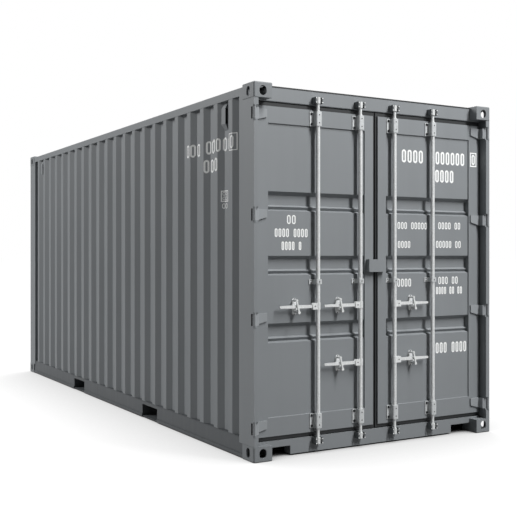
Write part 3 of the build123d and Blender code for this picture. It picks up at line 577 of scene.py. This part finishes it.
def side_marking(name, rows, frames=()):
    """Paint a marking on the left wall, bent along with the wave of its sheet."""
    shape = flat_marking(rows, frames)
    for ridge in range(wall_ridges):
        foot = wall_wave_start - ridge * wall_pitch
        for bend in (0, wall_flank, wall_flank + wall_crest, wall_ridge):
            everything = shape.verts[:] + shape.edges[:] + shape.faces[:]
            bmesh.ops.bisect_plane(
                shape, geom=everything, plane_co=(foot - bend, 0, 0), plane_no=(1, 0, 0)
            )
    thicken(shape)
    for corner in shape.verts:
        x, up, out = corner.co
        corner.co = (x, -wall_reach(x) - out, up)
    bmesh.ops.recalc_face_normals(shape, faces=shape.faces)
    finish_piece(shape, name, "container", marking_white)


door_marking(
    "left_door_zeros",
    "door_left",
    panel_face,
    [
        ("00", -864, 1820, 72, 46),
        ("0000 0000", -977, 1717, 68, 35),
        ("0000 0", -914, 1615, 68, 32),
    ],
)
door_marking(
    "right_door_zeros",
    "door_right",
    panel_face,
    [
        ("0000", 289, 2365, 112, 62),
        ("000000", 665, 2367, 112, 58),
        ("0000", 661, 2210, 110, 56),
        ("000 00000", 243, 1797, 60, 37),
        ("0000 00", 697, 1801, 62, 37.6),
        ("0000", 246, 1636, 60, 36),
        ("00000 00", 670, 1638, 62, 37),
        ("0000", 240, 1306, 70, 40),
        ("000 00", 697, 1321, 66, 39),
        ("0000 00 00", 670, 1233, 66, 31),
        ("000 0000", 666, 718, 94, 46),
    ],
)
door_marking(
    "right_stile_zero",
    "door_right",
    door_face,
    [("0", 1078, 2382, 90, 50)],
    [(1060, 2364, 76, 126, 10)],
)
side_marking(
    "side_wall_zeros",
    [
        ("0000 000000", 1849, 2418, 112, 69),
        ("0", 2638, 2421, 108, 66),
        ("0000", 2174, 2262, 112, 66),
        ("00", 2468, 2059, 30, 32),
        ("00", 2468, 2021, 30, 32),
        ("00", 2464, 1953, 43, 38),
    ],
    [(2622, 2405, 98, 140, 8), (2454, 2008, 88, 92, 8)],
)

# Fasteners. This turn makes them face outwards from the door end
outward = Matrix.Rotation(pi / 2, 4, "Y")


def add_disc(shape, place, turn, radius, height, corners):
    """Add a short prism that stands on a place, along the direction of a turn."""
    bmesh.ops.create_cone(
        shape,
        cap_ends=True,
        segments=corners,
        radius1=radius,
        radius2=radius,
        depth=height,
        matrix=Matrix.Translation(place) @ turn @ Matrix.Translation((0, 0, height / 2)),
    )


def add_bolt(shape, place):
    """Add a washer with a hexagon head, facing the way the doors face."""
    add_disc(shape, place, outward, washer_radius, washer_height, washer_corners)
    head = Vector(place) + Vector((washer_height, 0, 0))
    head_radius = bolt_across / (2 * cos(pi / bolt_corners))
    add_disc(shape, head, outward, head_radius, bolt_height, bolt_corners)


def add_rivet(shape, place, radius=rivet_radius):
    """Add a low round head, facing the way the doors face."""
    add_disc(shape, place, outward, radius, rivet_height, rivet_corners)


def bracket_bolts(side, rods):
    """Bolt each rod bracket to its door through its lug, and screw its bush in from the front."""
    shape = bmesh.new()
    for rod_y in rods:
        lug_y = rod_y - bracket_lug_offset
        for height in end_bracket_heights:
            for rise in (-end_bracket_spread, end_bracket_spread):
                add_bolt(shape, (door_face + bracket_lug_thickness, lug_y, height + rise))
            for rise in (-bush_screw_spread, bush_screw_spread):
                place = (rod_axis + bracket_front, rod_y, height + rise)
                add_rivet(shape, place, bush_screw_radius)
        for rise in (-middle_bracket_spread, middle_bracket_spread):
            place = (panel_face + bracket_lug_thickness, lug_y, middle_bracket_height + rise)
            add_rivet(shape, place)
        place = (rod_axis + bracket_front, rod_y, middle_bracket_height)
        add_rivet(shape, place, bush_screw_radius)
    finish_piece(shape, "bracket_bolts_" + side, "door_" + side, bolt_black)


def catch_rivets(side, grips):
    """Rivet each catch plate to its door above and below."""
    shape = bmesh.new()
    for catch_y, height in grips:
        for rise in (-catch_rivet_rise, catch_rivet_rise):
            add_rivet(shape, (panel_face + catch_plate, catch_y, height + rise))
    finish_piece(shape, "catch_rivets_" + side, "door_" + side, bolt_zinc)


def yoke_rivets(rod, rod_y, heights, sign):
    """Close each yoke with a rivet head on its pin, on the side of the rod that the sign gives."""
    shape = bmesh.new()
    for height in heights:
        add_rivet(shape, (rod_axis + yoke_front, rod_y + sign * yoke_pin_offset, height))
    finish_piece(shape, "yoke_rivets_" + rod, "lock_rod_" + rod + "_body", bolt_zinc)


def keeper_rivets():
    """Rivet the prongs of each cam keeper from the front."""
    shape = bmesh.new()
    spread = (-keeper_rivet_spread, keeper_rivet_spread)
    rises = (-keeper_rivet_rise, keeper_rivet_rise)
    for cam_z, rod_offset, sign, across, rise in product(
        cam_heights, rod_offsets, (-1, 1), spread, rises
    ):
        add_rivet(shape, (rod_axis + keeper_front, sign * rod_offset + across, cam_z + rise))
    finish_piece(shape, "keeper_rivets", "container", finishes["zinc_steel"])


inner, outer = rod_offsets
low, high = handle_heights
keeper_rivets()
bracket_bolts("left", [-inner, -outer])
bracket_bolts("right", [inner, outer])
catch_rivets(
    "left",
    [(-outer - catch_offset, high), (-inner - catch_offset, high), (-inner - catch_offset, low)],
)
catch_rivets("right", [(inner + catch_offset, high), (inner + catch_offset, low)])
yoke_rivets("left_outer", -outer, [high], -1)
yoke_rivets("left_inner", -inner, [low, high], -1)
yoke_rivets("right_inner", inner, [low, high], 1)


def panel_welds(side):
    """Run weld beads along the top and bottom edges of a door panel."""
    panel_low, panel_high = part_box("door_panel_" + side)
    shape = bmesh.new()
    for edge in (panel_low.z, panel_high.z):
        bmesh.ops.create_cone(
            shape,
            cap_ends=True,
            segments=weld_corners,
            radius1=weld_radius,
            radius2=weld_radius,
            depth=panel_high.y - panel_low.y,
            matrix=Matrix.Translation((panel_face, (panel_low.y + panel_high.y) / 2, edge))
            @ Matrix.Rotation(pi / 2, 4, "X"),
        )
    paint = finishes["painted_steel"]
    finish_piece(shape, "panel_welds_" + side, "door_" + side, paint)


def header_dark_strip():
    """Lay a thin dark strip where the roof sheet meets the header, between the castings."""
    high_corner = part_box("door_header")[1]
    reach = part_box("corner_castings_top")[1].y - casting_width
    shape = bmesh.new()
    strip = bmesh.ops.create_cube(shape, size=1)["verts"]
    bmesh.ops.scale(shape, verts=strip, vec=(2 * dark_strip_proud, 2 * reach, dark_strip_height))
    middle = (high_corner.x, 0, high_corner.z - dark_strip_height / 2)
    bmesh.ops.translate(shape, verts=strip, vec=middle)
    finish_piece(shape, "header_dark_strip", "container", finishes["seal_rubber"])


def floor_boards():
    """Lay sheets of plywood with open joints, and screw them to the cross members."""
    low_corner, high_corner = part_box("floor")
    size = high_corner - low_corner
    board_length = (size.x - (board_count - 1) * board_gap) / board_count
    shape = bmesh.new()
    for board in range(board_count):
        corners = bmesh.ops.create_cube(shape, size=1)["verts"]
        bmesh.ops.scale(shape, verts=corners, vec=(board_length, size.y, size.z))
        middle = low_corner + size / 2
        middle.x = low_corner.x + board_length / 2 + board * (board_length + board_gap)
        bmesh.ops.translate(shape, verts=corners, vec=middle)
    bmesh.ops.bevel(
        shape,
        geom=shape.edges[:],
        offset=board_edge,
        segments=1,
        profile=0.5,
        affect="EDGES",
        material=-1,
    )
    boards = finish_piece(shape, "floor_boards", "container", finishes["plywood"])
    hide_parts("floor")

    screws = bmesh.new()
    screw_foot = high_corner.z - board_screw_proud
    for board in range(board_count):
        start = low_corner.x + board * (board_length + board_gap)
        for row in (board_screw_edge, board_length / 2, board_length - board_screw_edge):
            for column in range(board_screw_columns):
                share = column / (board_screw_columns - 1)
                across = low_corner.y + board_screw_edge + share * (size.y - 2 * board_screw_edge)
                add_disc(
                    screws,
                    (start + row, across, screw_foot),
                    Matrix(),
                    board_screw_radius,
                    2 * board_screw_proud,
                    board_screw_corners,
                )
    finish_piece(screws, "floor_screws", "container", bolt_zinc)


panel_welds("left")
panel_welds("right")
header_dark_strip()
floor_boards()


def studio_floor():
    """Lay a pale paper floor that looks white and keeps the container's shadow, mostly as painted
    shade.
    """
    shape = bmesh.new()
    bmesh.ops.create_grid(shape, x_segments=8, y_segments=8, size=floor_size / 2)
    mesh = bpy.data.meshes.new("studio_floor")
    shape.to_mesh(mesh)
    shape.free()
    floor = bpy.data.objects.new("studio_floor", mesh)
    bpy.context.scene.collection.objects.link(floor)
    material = bpy.data.materials.new("pale_paper")
    material.use_nodes = True
    tree = material.node_tree
    tree.nodes.remove(tree.nodes["Principled BSDF"])
    rays = add_node(tree, "ShaderNodeLightPath")
    seen = add_node(
        tree,
        "ShaderNodeMath",
        links={0: rays.outputs["Is Camera Ray"], 1: rays.outputs["Is Glossy Ray"]},
        operation="MAXIMUM",
    )
    seen_through = add_node(
        tree,
        "ShaderNodeMath",
        links={0: seen.outputs["Value"], 1: rays.outputs["Is Transmission Ray"]},
        operation="MAXIMUM",
    )
    # A wide faint painted shade lies round the whole container, a dark one only where it nearly
    # touches
    painted_shade_sky = add_node(tree, "ShaderNodeAmbientOcclusion", {"Distance": floor_contact})
    lit = add_node(
        tree,
        "ShaderNodeMapRange",
        {"From Min": 0.12, "From Max": 0.56, "To Min": 0.0, "To Max": 1.0},
        {"Value": painted_shade_sky.outputs["AO"]},
    )
    wide_sky = add_node(tree, "ShaderNodeAmbientOcclusion", {"Distance": floor_shade})
    shade = add_node(
        tree,
        "ShaderNodeMapRange",
        {"From Min": 0.5, "From Max": 0.87, "To Min": 0.71, "To Max": 1.0},
        {"Value": wide_sky.outputs["AO"]},
    )
    brightness = add_node(
        tree,
        "ShaderNodeMath",
        links={0: shade.outputs["Result"], 1: lit.outputs["Result"]},
        operation="MULTIPLY",
    )
    glow = add_node(
        tree,
        "ShaderNodeMath",
        links={0: seen_through.outputs["Value"], 1: brightness.outputs["Value"]},
        operation="MULTIPLY",
    )
    emission = add_node(
        tree, "ShaderNodeEmission", {"Color": (1, 1, 1, 1)}, {"Strength": glow.outputs["Value"]}
    )
    paper = add_node(tree, "ShaderNodeBsdfDiffuse", {"Color": linear("#4A4A4A")})
    both = add_node(
        tree,
        "ShaderNodeAddShader",
        links={0: emission.outputs["Emission"], 1: paper.outputs["BSDF"]},
    )
    tree.links.new(both.outputs["Shader"], tree.nodes["Material Output"].inputs["Surface"])
    mesh.materials.append(material)


def studio_world():
    """White for the camera and through anything clear, an even grey for everything else."""
    world = bpy.data.worlds.new("studio")
    world.use_nodes = True
    bpy.context.scene.world = world
    tree = world.node_tree
    rays = add_node(tree, "ShaderNodeLightPath")
    seen = add_node(
        tree,
        "ShaderNodeMath",
        links={0: rays.outputs["Is Camera Ray"], 1: rays.outputs["Is Transmission Ray"]},
        operation="MAXIMUM",
    )
    strength = add_node(
        tree,
        "ShaderNodeMapRange",
        {"To Min": ambient, "To Max": 1},
        {"Value": seen.outputs["Value"]},
    )
    tree.links.new(strength.outputs["Result"], tree.nodes["Background"].inputs["Strength"])
    tree.nodes["Background"].inputs["Color"].default_value = (1, 1, 1, 1)


def add_light(name, target, azimuth, elevation, distance, size, power):
    """Hang a soft light of a width and height at an azimuth from +X, aimed at a target."""
    away = Vector((cos(azimuth) * cos(elevation), sin(azimuth) * cos(elevation), sin(elevation)))
    data = bpy.data.lights.new(name, "AREA")
    data.energy = power
    data.shape = "RECTANGLE"
    data.size, data.size_y = size
    light = bpy.data.objects.new(name, data)
    light.location = target + away * distance
    light.rotation_euler = (-away).to_track_quat("-Z", "Y").to_euler()
    bpy.context.scene.collection.objects.link(light)


def add_camera():
    """Stand the camera where the photograph was taken."""
    data = bpy.data.cameras.new("camera")
    data.lens = camera_lens
    data.shift_x = 0.5 - picture_centre[0] / image_width
    data.shift_y = picture_centre[1] / image_width - 0.5
    camera = bpy.data.objects.new("camera", data)
    camera.location = camera_place
    camera.rotation_euler = (pi / 2, 0, camera_heading)
    bpy.context.scene.collection.objects.link(camera)
    bpy.context.scene.camera = camera


studio_floor()
studio_world()
middle = (cad_box[0] + cad_box[1]) / 2
door_middle = Vector((door_face, middle.y, middle.z))
add_light("key", door_middle, key_azimuth, key_elevation, key_distance, key_size, key_power)
add_light("fill", middle, fill_azimuth, fill_elevation, fill_distance, fill_size, fill_power)
add_light("back", middle, back_azimuth, back_elevation, back_distance, back_size, back_power)
add_camera()
bpy.context.scene.view_settings.view_transform = "Standard"
